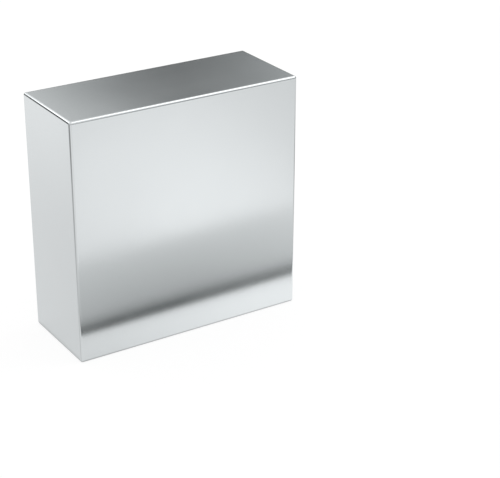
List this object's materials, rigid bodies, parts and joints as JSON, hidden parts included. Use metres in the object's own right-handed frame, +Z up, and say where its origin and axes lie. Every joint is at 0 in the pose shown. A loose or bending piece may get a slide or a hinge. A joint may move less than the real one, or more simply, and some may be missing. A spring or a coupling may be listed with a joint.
{
  "type": "block magnet",
  "caption": "Square block magnet with flat pole faces and softly rounded edges, solid sintered metal under bright nickel plating.",
  "frame": {"origin": "middle of the narrow side that the block stands on", "axes": "+Z up the block's height, +Y through its thickness from the front pole face to the back one, +X across its width"},
  "size_m": [0.05, 0.02, 0.05],
  "materials": {
    "nickel_plating": "bright nickel plate with a soft mirror gloss"
  },
  "bodies": {
    "root": {"magnet_block": "nickel_plating"}
  },
  "joints": []
}
